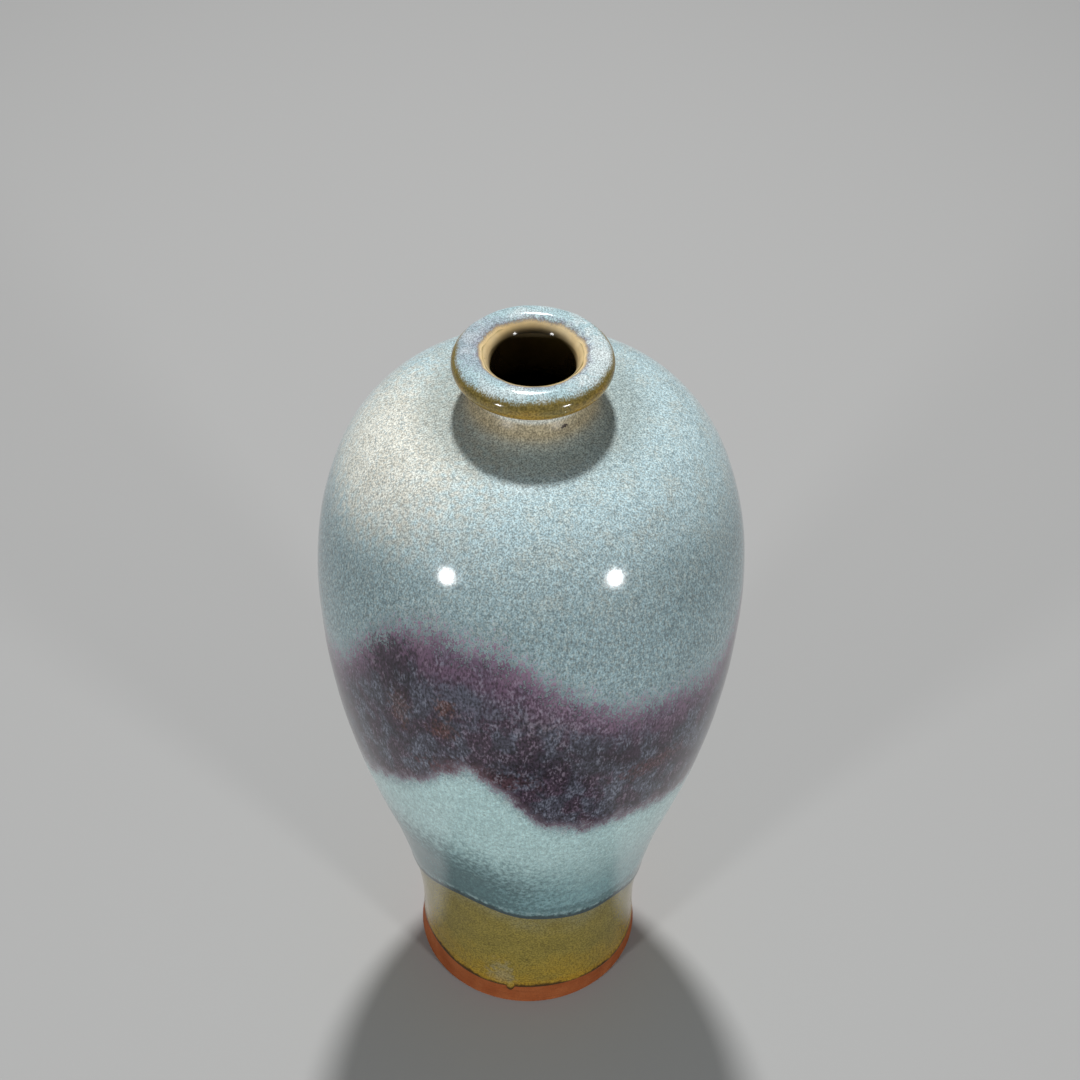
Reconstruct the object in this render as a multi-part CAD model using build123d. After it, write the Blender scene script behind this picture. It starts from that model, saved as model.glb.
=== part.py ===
from build123d import *
import os
from math import cos, radians, sin, sqrt

# Meiping vase: a high-shouldered stoneware vase, thrown in three sections that are luted
# together with slip, lined and dipped in a thin olive glaze, dipped again in a thick blue
# glaze and splashed with copper. Millimetres, +Z up, origin at the middle of the foot.

# Clay outside: radius of each station up the wall, its rise above the one before, and its lean
FOOT_RADIUS = 43.9
FOOT_BEVEL = 0.7
WAIST_RADIUS = 42.3
WAIST_RISE = 15.3
CALF_SHARE = 0.5             # reach of the arc above the waist, against the one below the flank
FLANK_INSET = 16.2           # in from the belly
FLANK_RISE = 83.3
FLANK_LEAN = 17.0            # degrees from plumb, negative leans inward going up
BELLY_RADIUS = 73.0
BELLY_RISE = 102.7
CROWN_INSET = 8.3            # in from the belly
CROWN_RISE = 48.0
CROWN_LEAN = -21.8
SHOULDER_INSET = 30.1        # in from the belly
SHOULDER_RISE = 22.7
SHOULDER_LEAN = -74.5
NECK_RADIUS = 17.2
NECK_RISE = 14.7

# Rolled lip and throat
LIP_ROOT_REACH = 3.0         # out from the neck
LIP_ROOT_RISE = 2.6
LIP_REACH = 8.6              # out from the neck
LIP_EDGE_RISE = 4.8
CREST_INSET = 5.8            # in from the lip's edge
CREST_RISE = 4.2
THROAT_DROP = 8.5            # down from the crest

# Clay walls, floor and turned foot ring
WAIST_WALL = 7.5
FLANK_WALL = 5.5
BELLY_WALL = 5.0
CROWN_WALL = 4.8
SHOULDER_WALL = 4.5
NECK_WALL = 3.3
NECK_INSIDE_DROP = 2.4       # from the narrowest outside of the neck to where the inside is straight
FLOOR_THICKNESS = 7.0
FLOOR_CORNER = 14.0
RING_WIDTH = 8.0
RING_DEPTH = 4.5
RING_DRAFT = 1.2

# Luted joints: a rebated rim below the belly and a bevelled one at the root of the neck
SLIP_THICKNESS = 0.8
REBATE_HEIGHT = 2.4
BELLY_SEAM_DROP = 16.0
NECK_SEAM_DROP = 8.2
NECK_SEAM_BEVEL = 4.2        # the joint is this much lower on the inside

# Glaze coats
LINING_THICKNESS = 0.4
OLIVE_THICKNESS = 0.4
BLUE_THICKNESS = 0.6
LIP_GLAZE_THICKNESS = 0.6
SPLASH_DEPTH = 0.3
COAT_CLEARANCE = 0.05        # under the blue glaze, and between the splash and its seat in it
COAT_OVERRUN = 3.0           # a coat is made this much longer than its wavy edge, then trimmed

# Wavy edges, as heights at even turns from the front (-Y) round to +X
OLIVE_EDGE = [9.0, 8.0, 6.2, 7.0, 7.8, 7.2, 8.6, 9.2, 8.4, 9.6, 10.4, 9.0]
DRIP_TURN = -9.2             # degrees round from the front
DRIP_LENGTH = 2.4
DRIP_WIDTH = 2.6
BLUE_EDGE_OVER_WAIST = [
    47.0, 45.0, 43.0, 42.5, 37.0, 34.5, 35.5, 38.0, 41.0, 44.0, 45.0, 43.5,
    41.5, 41.0, 43.5, 46.5, 47.0, 44.0, 41.5, 42.0, 45.0, 51.0, 55.0, 51.5,
]
SPLASH_TOP_OVER_BELLY = [
    27.0, 12.0, 2.5, -1.0, -5.0, 4.0, 9.0, 13.0, 14.0, 9.0, 6.0, 9.0,
    13.0, 14.0, 9.0, 3.0, -2.0, -6.0, -9.5, -10.0, -3.0, 21.0, 35.0, 34.5,
]
SPLASH_END_UNDER_BELLY = [
    50.5, 62.5, 62.5, 67.0, 72.5, 72.5, 68.0, 63.0, 58.0, 53.5, 55.0, 61.0,
    65.0, 63.0, 57.0, 57.0, 62.5, 67.0, 69.5, 70.5, 66.0, 54.5, 40.5, 28.0,
]


# The wall's outline is a chain of knots, each a point and a direction in the XZ plane.
# Two knots in a row are joined by the one arc that leaves the first in its direction.
def knot(radius, height, lean):
    """Point on the wall and its upward direction, leaned out from plumb by so many degrees."""
    return Vector(radius, 0, height), Vector(sin(radians(lean)), 0, cos(radians(lean)))


def outward(direction):
    """Normal on the right-hand side of a direction: out of the clay on the outside wall."""
    return Vector(direction.Z, 0, -direction.X)


def arc_end_direction(start, end):
    """Direction in which the arc that leaves one knot arrives at a point."""
    point, direction = start
    chord = (end - point).normalized()
    return chord * (2 * direction.dot(chord)) - direction


def biarc_middle(start, end, share=1.0):
    """Knot where the two arcs that join a pair of stations smoothly meet.

    The first arc's tangents are as long as the second's times the share."""
    (p0, d0), (p1, d1) = start, end
    span = p1 - p0
    along = span.dot(d0 * share + d1)
    bend = 2 * share * (1 - d0.dot(d1))
    reach = (sqrt(along * along + bend * span.dot(span)) - along) / bend
    middle = (p0 + d0 * (share * reach) + (p1 - d1 * reach) * share) * (1 / (1 + share))
    return middle, arc_end_direction(start, middle)


def arc_start(point, end):
    """Knot at a point from which one arc arrives at a station in the station's direction."""
    return point, arc_end_direction((end[0], end[1] * -1), point) * -1


def chain(stations):
    """Knots through a list of stations, with a biarc between each pair."""
    knots = [stations[0]]
    for start, end in zip(stations, stations[1:]):
        knots += [biarc_middle(start, end), end]
    return knots


def shifted(knots, distance):
    """The same outline moved along its outward normal: every arc stays concentric."""
    return [(point + outward(direction) * distance, direction) for point, direction in knots]


def turned_back(knots):
    """The same outline walked the other way."""
    return [(point, direction * -1) for point, direction in reversed(knots)]


def is_straight(start, end):
    chord = end - start[0]
    return abs(chord.dot(outward(start[1]))) < 1e-6 * chord.length


def knot_at_height(knots, height):
    """Index of the span that crosses a height and the knot on it there."""
    for index, (start, end) in enumerate(zip(knots, knots[1:])):
        low, high = start[0], end[0]
        if low.Z <= height < high.Z:
            break
    if height == low.Z:
        return index, start
    chord = high - low
    if is_straight(start, high):
        return index, (low + chord * ((height - low.Z) / chord.Z), start[1])
    normal = outward(start[1])
    radius = chord.dot(chord) / (2 * chord.dot(normal))
    centre = low + normal * radius
    half_width = sqrt(radius * radius - (height - centre.Z) ** 2)
    point = Vector(centre.X - half_width * (1 if radius > 0 else -1), 0, height)
    return index, (point, arc_end_direction(start, point))


def with_knot(knots, height):
    """The chain with one more knot, at a height that its upward run crosses."""
    index, extra = knot_at_height(knots, height)
    if extra is knots[index]:
        return knots
    return knots[: index + 1] + [extra] + knots[index + 1:]


def run(knots, low, high):
    """The part of a chain between two of its knots, found by their points."""
    points = [point for point, _ in knots]
    ends = [min(range(len(points)), key=lambda i: (points[i] - end[0]).length) for end in (low, high)]
    return knots[ends[0]: ends[1] + 1]


def span_edges(knots):
    """Lines and arcs along a chain."""
    edges = []
    for start, end in zip(knots, knots[1:]):
        if is_straight(start, end[0]):
            edges.append(Line(start[0], end[0]))
        else:
            edges.append(TangentArc(start[0], end[0], tangent=start[1]))
    return edges


def corner_edges(points):
    """Straight edges through a list of points."""
    return [Line(a, b) for a, b in zip(points, points[1:])]


def turned(edges):
    """Solid of revolution about the vase's axis from the edges of its half section."""
    return revolve(Face(Wire(edges)), Axis.Z, 360).solid()


def coat(knots, inner, outer):
    """Skin of revolution between two offsets of one outline."""
    under = shifted(knots, inner)
    over = shifted(knots, outer)
    caps = [Line(under[-1][0], over[-1][0]), Line(over[0][0], under[0][0])]
    return turned(span_edges(under) + [caps[0]] + span_edges(turned_back(over)) + [caps[1]])


def wave(base, heights):
    """Points of a wavy edge as (degrees round from the front, height), at even turns over a base height."""
    return [(360 * index / len(heights), base + height) for index, height in enumerate(heights)]


def wavy_cut(points, rise=0.0):
    """Level ribbon from the neck's radius to well outside every coat, along a wavy edge."""
    turns = [radians(angle) for angle, _ in points]
    rims = []
    for radius in (NECK_RADIUS, 2 * BELLY_RADIUS):
        rim = [(radius * sin(radians(angle)), -radius * cos(radians(angle)), z + rise) for angle, z in points]
        rims.append(Edge.make_spline(rim, periodic=True, parameters=turns + [turns[0] + radians(360)]))
    return Face.make_surface_from_curves(*rims)


def parted(skin, points, rise=0.0):
    """The two pieces of a skin, the one below a wavy edge and the one above it."""
    return sorted(skin.split(wavy_cut(points, rise), Keep.ALL), key=lambda piece: piece.center().Z)


# Heights of the stations, each from the one below
waist_height = FOOT_BEVEL + WAIST_RISE
flank_height = waist_height + FLANK_RISE
belly_height = flank_height + BELLY_RISE
crown_height = belly_height + CROWN_RISE
shoulder_height = crown_height + SHOULDER_RISE
neck_height = shoulder_height + NECK_RISE
lip_root_height = neck_height + LIP_ROOT_RISE
lip_edge_height = lip_root_height + LIP_EDGE_RISE
crest_height = lip_edge_height + CREST_RISE
throat_height = crest_height - THROAT_DROP

# Stations up the outside of the clay, over the lip and down into the throat
waist = knot(WAIST_RADIUS, waist_height, 0)
foot = arc_start(Vector(FOOT_RADIUS, 0, FOOT_BEVEL), waist)
flank = knot(BELLY_RADIUS - FLANK_INSET, flank_height, FLANK_LEAN)
calf = biarc_middle(waist, flank, CALF_SHARE)
belly = knot(BELLY_RADIUS, belly_height, 0)
crown = knot(BELLY_RADIUS - CROWN_INSET, crown_height, CROWN_LEAN)
shoulder = knot(BELLY_RADIUS - SHOULDER_INSET, shoulder_height, SHOULDER_LEAN)
neck = knot(NECK_RADIUS, neck_height, 0)
lip_root = knot(NECK_RADIUS + LIP_ROOT_REACH, lip_root_height, 90)
lip_edge = knot(NECK_RADIUS + LIP_REACH, lip_edge_height, 0)
crest = knot(NECK_RADIUS + LIP_REACH - CREST_INSET, crest_height, -90)
throat = knot(NECK_RADIUS - NECK_WALL, throat_height, 180)
outside = [foot, waist, calf]
outside += chain([flank, belly, crown, shoulder, neck, lip_root, lip_edge, crest, throat])
lip_brow = biarc_middle(lip_edge, crest)
bevel = biarc_middle(crest, throat)

# Stations up the inside of the clay, from the middle of the floor to the throat
floor_height = RING_DEPTH + FLOOR_THICKNESS
waist_inside = shifted([waist], -WAIST_WALL)[0]
floor_edge = knot(waist_inside[0].X - FLOOR_CORNER, floor_height, 90)
floor_middle = knot(0, floor_height, 90)
wall_foot = knot(waist_inside[0].X, floor_height + FLOOR_CORNER, 0)
flank_inside = shifted([flank], -FLANK_WALL)[0]
belly_inside = shifted([belly], -BELLY_WALL)[0]
crown_inside = shifted([crown], -CROWN_WALL)[0]
shoulder_inside = shifted([shoulder], -SHOULDER_WALL)[0]
neck_inside = knot(NECK_RADIUS - NECK_WALL, neck_height - NECK_INSIDE_DROP, 0)
throat_inside = knot(NECK_RADIUS - NECK_WALL, throat_height, 0)
wall_inside = [floor_edge, wall_foot, flank_inside, belly_inside, crown_inside, shoulder_inside, neck_inside]
inside = [floor_middle] + chain(wall_inside) + [throat_inside]

# Knots where the luted joints meet the two faces of the wall
rim_low = belly_height - BELLY_SEAM_DROP
rim_high = rim_low + REBATE_HEIGHT
neck_seam = neck_height - NECK_SEAM_DROP
outer_cuts = [rim_low, rim_low + SLIP_THICKNESS, neck_seam, neck_seam + SLIP_THICKNESS]
inner_cuts = [rim_high, rim_high + SLIP_THICKNESS]
inner_cuts += [neck_seam - NECK_SEAM_BEVEL, neck_seam - NECK_SEAM_BEVEL + SLIP_THICKNESS]
outer_joints = [knot_at_height(outside, height)[1] for height in outer_cuts]
inner_joints = [knot_at_height(inside, height)[1] for height in inner_cuts]
for height in outer_cuts:
    outside = with_knot(outside, height)
for height in inner_cuts:
    inside = with_knot(inside, height)

# Wavy edges of the coats, and knots a little beyond them where the untrimmed coats end
olive_edge = wave(0, OLIVE_EDGE)
blue_edge = wave(waist_height, BLUE_EDGE_OVER_WAIST)
splash_top = wave(belly_height, SPLASH_TOP_OVER_BELLY)
splash_end = wave(belly_height, [-drop for drop in SPLASH_END_UNDER_BELLY])
blue_surface = OLIVE_THICKNESS + BLUE_THICKNESS
lowest = [min(height for _, height in edge) - COAT_OVERRUN for edge in (olive_edge, blue_edge, splash_end)]
highest = max(height for _, height in splash_top) + COAT_OVERRUN
coat_ends = [knot_at_height(outside, height)[1] for height in lowest + [highest]]
for height in lowest + [highest]:
    outside = with_knot(outside, height)
olive_foot, blue_foot, splash_foot, splash_head = coat_ends

# Rebated rims of the belly joint, listed from the outer face of the wall to the inner one
tongue_radius = (outer_joints[0][0].X + inner_joints[0][0].X) / 2
lower_rim = [
    outer_joints[0][0],
    Vector(tongue_radius, 0, rim_low),
    Vector(tongue_radius, 0, rim_high),
    inner_joints[0][0],
]
upper_rim = [
    outer_joints[1][0],
    Vector(tongue_radius + SLIP_THICKNESS, 0, rim_low + SLIP_THICKNESS),
    Vector(tongue_radius + SLIP_THICKNESS, 0, rim_high + SLIP_THICKNESS),
    inner_joints[1][0],
]


def lower_body():
    """Thrown lower section with a solid floor, a turned foot ring and a rebated rim."""
    ring_inside = FOOT_RADIUS - RING_WIDTH
    underside = [
        floor_middle[0],
        Vector(0, 0, RING_DEPTH),
        Vector(ring_inside - RING_DRAFT, 0, RING_DEPTH),
        Vector(ring_inside, 0, FOOT_BEVEL),
        Vector(ring_inside + FOOT_BEVEL, 0, 0),
        Vector(FOOT_RADIUS - FOOT_BEVEL, 0, 0),
        foot[0],
    ]
    wall = span_edges(run(outside, foot, outer_joints[0]))
    hollow = span_edges(turned_back(run(inside, floor_middle, inner_joints[0])))
    return turned(wall + corner_edges(lower_rim) + hollow + corner_edges(underside))


def belly_slip_joint():
    """Layer of slip that fills the rebated joint round the belly."""
    wall = span_edges(run(outside, outer_joints[0], outer_joints[1]))
    hollow = span_edges(turned_back(run(inside, inner_joints[0], inner_joints[1])))
    return turned(wall + corner_edges(upper_rim) + hollow + corner_edges(lower_rim[::-1]))


def upper_body():
    """Thrown dome from the belly joint over the shoulder to the root of the neck."""
    wall = span_edges(run(outside, outer_joints[1], outer_joints[2]))
    hollow = span_edges(turned_back(run(inside, inner_joints[1], inner_joints[2])))
    seam = corner_edges([outer_joints[2][0], inner_joints[2][0]])
    return turned(wall + seam + hollow + corner_edges(upper_rim[::-1]))


def neck_slip_joint():
    """Layer of slip in the bevelled joint between the shoulder and the neck."""
    wall = span_edges(run(outside, outer_joints[2], outer_joints[3]))
    hollow = span_edges(turned_back(run(inside, inner_joints[2], inner_joints[3])))
    seams = [Line(outer_joints[3][0], inner_joints[3][0]), Line(inner_joints[2][0], outer_joints[2][0])]
    return turned(wall + seams[:1] + hollow + seams[1:])


def neck_and_lip():
    """Thrown neck ring with its rolled lip and bevelled mouth."""
    wall = span_edges(run(outside, outer_joints[3], throat))
    hollow = span_edges(turned_back(run(inside, inner_joints[3], throat_inside)))
    return turned(wall + hollow + corner_edges([inner_joints[3][0], outer_joints[3][0]]))


def lining_glaze():
    """Thin glaze poured round the inside, over the floor and up to the mouth's bevel."""
    return coat(inside + turned_back(run(outside, bevel, throat))[1:], 0, -LINING_THICKNESS)


def olive_glaze():
    """Thin first dip, from the mouth's bevel down to an uneven edge with one drip near the foot."""
    below, above = parted(coat(run(outside, olive_foot, bevel), 0, OLIVE_THICKNESS), olive_edge)
    facing = Vector(sin(radians(DRIP_TURN)), -cos(radians(DRIP_TURN)), 0)
    hem_height = olive_edge[0][1]
    face_plane = Plane(Vector(0, 0, hem_height), x_dir=facing.cross(Vector(0, 0, -1)), z_dir=facing)
    tongue = extrude(face_plane * SlotOverall(2 * DRIP_LENGTH, DRIP_WIDTH, rotation=90), BELLY_RADIUS)
    return (above + (below & tongue)).solid()


def splash_band(inner, outer, margin):
    """Band between two offsets of the wall and two wavy edges, widened by a margin both ways."""
    skin = coat(run(outside, splash_foot, splash_head), inner, outer)
    under_top, _ = parted(skin, splash_top, margin)
    _, band = parted(under_top, splash_end, -margin)
    return band


def copper_splash():
    """Band of copper that sank into the skin of the blue glaze, with a wavy edge above and below."""
    return splash_band(blue_surface - SPLASH_DEPTH, blue_surface, 0)


def blue_glaze():
    """Thick second dip, from under the lip to its wavy lower edge, with a seat for the splash."""
    skin = coat(run(outside, blue_foot, lip_root), OLIVE_THICKNESS + COAT_CLEARANCE, blue_surface)
    _, above = parted(skin, blue_edge)
    seat_floor = blue_surface - SPLASH_DEPTH - COAT_CLEARANCE
    seat = splash_band(seat_floor, blue_surface + BLUE_THICKNESS, COAT_CLEARANCE)
    return (above - seat).solid()


def lip_glaze():
    """Ring of the blue glaze left on top of the lip, where it ran off the edge on both sides."""
    return coat(run(outside, lip_brow, bevel), OLIVE_THICKNESS, OLIVE_THICKNESS + LIP_GLAZE_THICKNESS)


nodes = {
    "lower_body": lower_body(),
    "belly_slip_joint": belly_slip_joint(),
    "upper_body": upper_body(),
    "neck_slip_joint": neck_slip_joint(),
    "neck_and_lip": neck_and_lip(),
    "lining_glaze": lining_glaze(),
    "olive_glaze": olive_glaze(),
    "blue_glaze": blue_glaze(),
    "copper_splash": copper_splash(),
    "lip_glaze": lip_glaze(),
}

os.makedirs("parts", exist_ok=True)
for name, solid in nodes.items():
    solid.label = name
    export_step(solid, f"parts/{name}.step")
    print(name, "volume", round(solid.volume), "mm3, top at", round(solid.bounding_box().max.Z, 2), "mm")
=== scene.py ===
# %% [markdown]
# # A meiping vase in poured glazes
# A meiping is a tall bottle with high shoulders, a short neck and a small rolled lip, made to hold
# one flowering branch. This one is red stoneware under three glazes: a thin olive dip, a thick blue
# dip that stops short of the foot, and a splash of copper that fired to purple.
# The measured solids come in first as a fixed frame. Everything after is laid over them in metres.

# %% Load the measured vase
import math

import bpy
import numpy as np
from mathutils import Matrix, Vector
from mathutils.bvhtree import BVHTree


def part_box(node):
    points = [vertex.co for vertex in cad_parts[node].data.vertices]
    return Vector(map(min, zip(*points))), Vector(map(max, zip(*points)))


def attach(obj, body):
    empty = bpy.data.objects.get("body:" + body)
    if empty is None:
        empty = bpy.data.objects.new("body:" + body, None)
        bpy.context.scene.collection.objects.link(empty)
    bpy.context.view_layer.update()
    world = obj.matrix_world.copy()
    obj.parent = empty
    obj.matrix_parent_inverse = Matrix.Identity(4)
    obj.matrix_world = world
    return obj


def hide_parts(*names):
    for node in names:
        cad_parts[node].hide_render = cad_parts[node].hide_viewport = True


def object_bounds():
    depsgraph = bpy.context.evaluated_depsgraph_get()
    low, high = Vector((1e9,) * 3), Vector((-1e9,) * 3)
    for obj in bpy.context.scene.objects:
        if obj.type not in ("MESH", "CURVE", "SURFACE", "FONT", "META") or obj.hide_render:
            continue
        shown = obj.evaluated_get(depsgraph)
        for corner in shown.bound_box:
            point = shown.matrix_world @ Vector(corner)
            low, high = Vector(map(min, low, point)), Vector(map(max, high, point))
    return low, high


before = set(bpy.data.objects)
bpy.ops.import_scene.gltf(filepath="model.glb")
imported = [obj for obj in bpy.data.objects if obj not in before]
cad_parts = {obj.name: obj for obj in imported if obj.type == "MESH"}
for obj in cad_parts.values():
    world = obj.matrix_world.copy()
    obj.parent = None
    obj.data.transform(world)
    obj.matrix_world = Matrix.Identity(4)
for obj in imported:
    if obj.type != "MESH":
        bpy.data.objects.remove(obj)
cad_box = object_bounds()
MM = 0.001
vase_height = cad_box[1].z
print("vase", round(vase_height / MM), "mm tall, nodes:", ", ".join(sorted(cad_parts)))

# %% [markdown]
# ## The viewpoint
# The picture looks down on the vase from in front, so the top of the lip and the whole shoulder show
# and the foot looks small. A camera could be turned by eye, but a distance, a pitch and an aim point
# on the axis say plainly where it stands. A very small roll matches the tilt of the picture.

# %% Camera
CAMERA_LENS = 66.667          # millimetres
CAMERA_SENSOR = 36.0          # millimetres across
CAMERA_DISTANCE = 2.29674     # in vase heights, from the aim point
CAMERA_AIM = 0.7212           # in vase heights, up the axis
CAMERA_PITCH = 0.76462        # radians below level
CAMERA_YAW = -0.0060
CAMERA_ROLL = 0.0135


def aimed(place, forward, roll):
    """Camera matrix at a place, looking forward, with the picture rolled by an angle."""
    right = forward.cross(Vector((0, 0, 1))).normalized()
    up = right.cross(forward)
    rolled_right = math.cos(roll) * right + math.sin(roll) * up
    rolled_up = math.cos(roll) * up - math.sin(roll) * right
    turn = Matrix((rolled_right, rolled_up, -forward)).transposed().to_4x4()
    return Matrix.Translation(place) @ turn


camera_data = bpy.data.cameras.new("camera")
camera_data.lens = CAMERA_LENS
camera_data.sensor_width = CAMERA_SENSOR
camera = bpy.data.objects.new("camera", camera_data)
bpy.context.scene.collection.objects.link(camera)
level = Vector((0, math.cos(CAMERA_PITCH), -math.sin(CAMERA_PITCH)))
camera_place = Vector((0, 0, CAMERA_AIM * vase_height)) - CAMERA_DISTANCE * vase_height * level
camera.matrix_world = aimed(camera_place, Matrix.Rotation(CAMERA_YAW, 3, "Z") @ level, CAMERA_ROLL)
bpy.context.scene.camera = camera
bpy.context.scene.view_settings.view_transform = "Standard"
print("camera at", [round(value, 3) for value in camera_place])

# %% [markdown]
# ## Light and floor
# A studio light hangs above and a little behind, which throws the lip's shadow forward onto the
# shoulder. Two round lamps stand in front to the left and right, and each leaves one small bright
# dot on the glossy shoulder. A grey world fills the rest, so no side goes black.

# %% Lamps, world and floor
KEY_PLACE = (-0.03, 0.74, 1.71)
KEY_POWER = 27.0
KEY_SIZE = 0.16
FRONT_LAMP_SIDE = 0.80
FRONT_LAMP_BACK = -0.86
FRONT_LAMP_HEIGHT = 0.40
FRONT_LAMP_POWER = 5.0
FRONT_LAMP_SIZE = 0.16
FRONT_LAMP_TALL = 0.24         # taller than wide, because the shoulder flattens its image
WORLD_LEVEL = 0.10
WORLD_TONE = (0.93, 0.96, 1.0, 1)
FLOOR_REACH = 6.0
FLOOR_TONE = (0.44, 0.44, 0.435, 1)
FLOOR_ROUGHNESS = 0.9


def studio_lamp(name, place, power, size, tall):
    """Round or oval area lamp that faces the middle of the vase."""
    light = bpy.data.lights.new(name, "AREA")
    light.shape = "ELLIPSE"
    light.size = size
    light.size_y = tall
    light.energy = power
    lamp = bpy.data.objects.new(name, light)
    lamp.location = place
    facing = Vector((0, 0, vase_height / 2)) - Vector(place)
    lamp.rotation_euler = facing.to_track_quat("-Z", "Y").to_euler()
    bpy.context.scene.collection.objects.link(lamp)


studio_lamp("key_lamp", KEY_PLACE, KEY_POWER, KEY_SIZE, KEY_SIZE)
for side_name, side in (("left", -1), ("right", 1)):
    lamp_place = (side * FRONT_LAMP_SIDE, FRONT_LAMP_BACK, FRONT_LAMP_HEIGHT)
    lamp_name = "front_lamp_" + side_name
    studio_lamp(lamp_name, lamp_place, FRONT_LAMP_POWER, FRONT_LAMP_SIZE, FRONT_LAMP_TALL)

world = bpy.data.worlds.new("studio")
world.use_nodes = True
backdrop = world.node_tree.nodes["Background"].inputs
backdrop["Color"].default_value = WORLD_TONE
backdrop["Strength"].default_value = WORLD_LEVEL
bpy.context.scene.world = world

corners = [(-FLOOR_REACH, -FLOOR_REACH, 0), (FLOOR_REACH, -FLOOR_REACH, 0)]
corners += [(FLOOR_REACH, FLOOR_REACH, 0), (-FLOOR_REACH, FLOOR_REACH, 0)]
floor_mesh = bpy.data.meshes.new("floor")
floor_mesh.from_pydata(corners, [], [(0, 1, 2, 3)])
floor = bpy.data.objects.new("floor", floor_mesh)
bpy.context.scene.collection.objects.link(floor)
floor_paper = bpy.data.materials.new("floor_paper")
floor_paper.use_nodes = True
paper = floor_paper.node_tree.nodes["Principled BSDF"].inputs
paper["Base Color"].default_value = FLOOR_TONE
paper["Roughness"].default_value = FLOOR_ROUGHNESS
floor_mesh.materials.append(floor_paper)

# %% [markdown]
# ## The outline
# Every coat on the vase follows one outline, the outside of the olive glaze. It could be typed in
# again as a list of points, but the solids already hold it: each was spun from a half section, and
# that section is still there as a row of mesh edges in the plane of the spin's start. Walking those
# edges gives the outline, and a smooth curve through the walked points gives as many as a mesh needs.

# %% Walk the half section of a solid
ON_SEAM = 1e-7


def half_section(node):
    """Points (radius, height) of a CAD node's half section in walking order, from its lowest end."""
    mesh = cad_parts[node].data
    places = np.empty(len(mesh.vertices) * 3)
    mesh.vertices.foreach_get("co", places)
    places = places.reshape(-1, 3)
    ends = np.empty(len(mesh.edges) * 2, int)
    mesh.edges.foreach_get("vertices", ends)
    ends = ends.reshape(-1, 2)
    on_seam = (np.abs(places[:, 1]) < ON_SEAM) & (places[:, 0] > -ON_SEAM)
    neighbours = {}
    for start, end in ends[on_seam[ends].all(axis=1)]:
        low, high = [tuple(np.round(places[i, [0, 2]], 6)) for i in (start, end)]
        if low != high:
            neighbours.setdefault(low, set()).add(high)
            neighbours.setdefault(high, set()).add(low)
    loose = [point for point in neighbours if len(neighbours[point]) == 1]
    walk = [min(loose or neighbours, key=lambda point: (point[1], -point[0]))]
    before = None
    while True:
        onward = [point for point in neighbours[walk[-1]] if point != before]
        if not onward or (len(walk) > 2 and walk[0] in onward):
            return np.array(walk)
        before = walk[-1]
        walk.append(max(onward, key=lambda point: point[1]))


def smooth_line(points, step):
    """Even points along a smooth curve through a row of points."""
    reach = np.concatenate([[0], np.cumsum(np.linalg.norm(np.diff(points, axis=0), axis=1))])
    slopes = np.gradient(points, reach, axis=0)
    along = np.linspace(0, reach[-1], max(2, int(reach[-1] / step)))
    index = np.clip(np.searchsorted(reach, along, side="right") - 1, 0, len(points) - 2)
    width = (reach[index + 1] - reach[index])[:, None]
    t = (along - reach[index])[:, None] / width
    from_start = (1 + 2 * t) * (1 - t) ** 2 * points[index] + t * (1 - t) ** 2 * width * slopes[index]
    from_end = t * t * (3 - 2 * t) * points[index + 1] + t * t * (t - 1) * width * slopes[index + 1]
    return from_start + from_end


olive_section = half_section("olive_glaze")
print("olive half section:", len(olive_section), "points")

# %% The outside wall as a curve
WALL_STEP = 0.1 * MM
SKIRT = 4 * MM                # the wall is carried on this far below the glaze, to reach every drip
SKIRT_LEAN = 20               # steps of the wall that give the skirt its lean
MOUTH_LAP = 1.5 * MM          # and this far onto the lining, so that no seam shows in the mouth
LAP_SKIP = 2                  # steps left out where the wall ends and the lining starts

lining_section = half_section("lining_glaze")
lining_top = int(np.argmax(lining_section[:, 1]))
lining_sides = [lining_section[: lining_top + 1], lining_section[lining_top:][::-1]]
lining_line = smooth_line(max(lining_sides, key=lambda side: side[0, 1]), WALL_STEP)
mouth_end = int(np.argmin(olive_section[:, 0]))
wall = smooth_line(olive_section[: mouth_end + 1], WALL_STEP)
below = wall[0] - wall[SKIRT_LEAN]
below = below / np.linalg.norm(below)
skirt = wall[0] + below * np.arange(SKIRT, 0, -WALL_STEP)[:, None]
lap = lining_line[::-1][LAP_SKIP: LAP_SKIP + int(MOUTH_LAP / WALL_STEP)]
wall = np.vstack([skirt, wall, lap])
wall_along = np.concatenate([[0], np.cumsum(np.linalg.norm(np.diff(wall, axis=0), axis=1))])
wall_slope = np.gradient(wall, wall_along, axis=0)
wall_normal = np.stack([wall_slope[:, 1], -wall_slope[:, 0]], axis=1)
crest_index = int(np.argmax(wall[:, 1]))


def along_at_height(heights):
    """How far along the wall each height lies, on the way up to the crest of the lip."""
    return np.interp(heights, wall[:crest_index, 1], wall_along[:crest_index])


def on_wall(along, lift):
    """Radius and height of points along the wall, lifted off it along its normal."""
    parts = [np.interp(along, wall_along, wall[:, i]) for i in (0, 1)]
    leans = [np.interp(along, wall_along, wall_normal[:, i]) for i in (0, 1)]
    return parts[0] + leans[0] * lift, parts[1] + leans[1] * lift


print("wall", round(wall_along[-1] / MM), "mm long, widest", round(wall[:, 0].max() / MM, 2), "mm")

# %% [markdown]
# ## The wavy edges
# Poured glaze stops in a wavy line, different all the way round. The solids have those lines cut
# into them, so they are measured: a level ray is shot at a coat from outside, and the height where
# it stops hitting is found by halving the interval again and again.

# %% Measure where each coat stops
TURNS = 480
HALVINGS = 14
RAY_START = 0.2
RAY_REACH = 0.18              # short of the axis, so that the far wall isn't hit

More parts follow.
